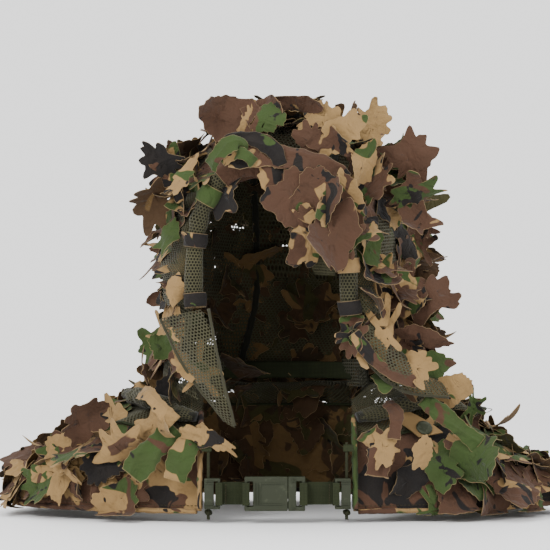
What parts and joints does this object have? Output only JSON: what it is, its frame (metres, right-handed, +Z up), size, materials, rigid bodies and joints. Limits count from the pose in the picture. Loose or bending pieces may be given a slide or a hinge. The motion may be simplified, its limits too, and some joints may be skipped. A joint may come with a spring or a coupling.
{
  "type": "ghillie suit hooded cape",
  "caption": "Hooded shoulder cape of a ghillie suit: olive net with woodland camouflage fabric leaves, a face veil, snap tabs and a sliding chest strap with a buckle.",
  "frame": {"origin": "the middle of the wearer's neck base, level with the shoulders' inner ends, where the cape is worn", "axes": "+Z up, the open front faces -Y, +X points to the wearer's left"},
  "size_m": [0.5345, 0.3134, 0.3965],
  "materials": {
    "net": "open knitted mesh, matt olive",
    "camo_brown": "woodland camouflage print, mostly brown, matt",
    "camo_green": "woodland camouflage print, mostly green, matt",
    "camo_tan": "woodland camouflage print, mostly tan, matt",
    "camo_black": "woodland camouflage print, mostly black, matt",
    "webbing": "woven olive tape and cord, matt",
    "plastic": "fine textured olive",
    "snap_metal": "dark olive enamel, satin"
  },
  "bodies": {
    "cape": {"right_yoke_net": "net", "left_yoke_net": "net", "back_yoke_net": "net", "right_shoulder_panel": "camo_brown", "left_shoulder_panel": "camo_brown", "back_panel": "camo_green", "right_front_binding": "camo_tan", "left_front_binding": "camo_green", "neck_band": "webbing", "hem_binding": "camo_brown", "right_shoulder_leaves_1": "camo_tan", "right_shoulder_leaves_2": "camo_green", "left_shoulder_leaves_1": "camo_tan", "left_shoulder_leaves_2": "camo_green", "back_leaves_1": "camo_brown", "back_leaves_2": "camo_tan", "right_snap_stud": "snap_metal", "left_snap_stud": "snap_metal", "right_rail_cord": "webbing", "left_rail_cord": "webbing", "right_rail_loop": "webbing", "left_rail_loop": "webbing"},
    "hood": {"hood_right_panel": "net", "hood_left_panel": "net", "hood_centre_panel": "net", "face_casing_right": "net", "brow_casing": "camo_brown", "face_casing_left": "net", "loop_right_temple": "camo_green", "loop_right_cheek": "camo_black", "loop_right_jaw": "camo_black", "loop_left_temple": "camo_brown", "loop_left_cheek": "camo_tan", "loop_left_jaw": "camo_black", "right_lappet": "net", "left_lappet": "net", "crown_front_leaves": "camo_brown", "crown_middle_leaves": "camo_green", "crown_back_leaves": "camo_tan", "hood_back_leaves": "camo_brown", "nape_leaves": "camo_green", "hood_right_leaves_1": "camo_brown", "hood_right_leaves_2": "camo_tan", "hood_left_leaves_1": "camo_brown", "hood_left_leaves_2": "camo_tan", "hood_left_leaves_3": "camo_green"},
    "veil": {"veil_net": "net", "veil_leaves": "camo_brown"},
    "right_tab": {"right_snap_tab": "camo_green", "right_snap_cap": "snap_metal", "right_snap_socket": "snap_metal"},
    "left_tab": {"left_snap_tab": "camo_green", "left_snap_cap": "snap_metal", "left_snap_socket": "snap_metal"},
    "chest_strap": {"right_slider": "plastic", "left_slider": "plastic", "right_webbing": "webbing", "left_webbing": "webbing", "buckle_socket": "plastic"},
    "buckle_tongue": {"buckle_tongue": "plastic"}
  },
  "joints": [
    {"name": "hood_fold", "type": "hinge", "parent": "cape", "child": "hood", "pos_m": [0, 0.112, 0.042], "axis": [-1, 0, 0], "range_deg": [0, 70]},
    {"name": "veil_lift", "type": "hinge", "parent": "hood", "child": "veil", "pos_m": [0.0082, -0.1091, 0.2353], "axis": [-0.9799, 0.1728, 0.0995], "range_deg": [0, 105]},
    {"name": "right_tab_lift", "type": "hinge", "parent": "cape", "child": "right_tab", "pos_m": [-0.09359, -0.05438, 0.02095], "axis": [-0.4619, 0.7193, 0.5189], "range_deg": [0, 60]},
    {"name": "left_tab_lift", "type": "hinge", "parent": "cape", "child": "left_tab", "pos_m": [0.09359, -0.05438, 0.02095], "axis": [-0.4619, -0.7193, -0.5189], "range_deg": [0, 35]},
    {"name": "strap_height", "type": "slide", "parent": "cape", "child": "chest_strap", "axis": [0, 0, 1], "range_m": [0, 0.02]},
    {"name": "buckle_release", "type": "slide", "parent": "chest_strap", "child": "buckle_tongue", "axis": [1, 0, 0], "range_m": [0, 0.025], "deforming": ["left_webbing"]}
  ]
}
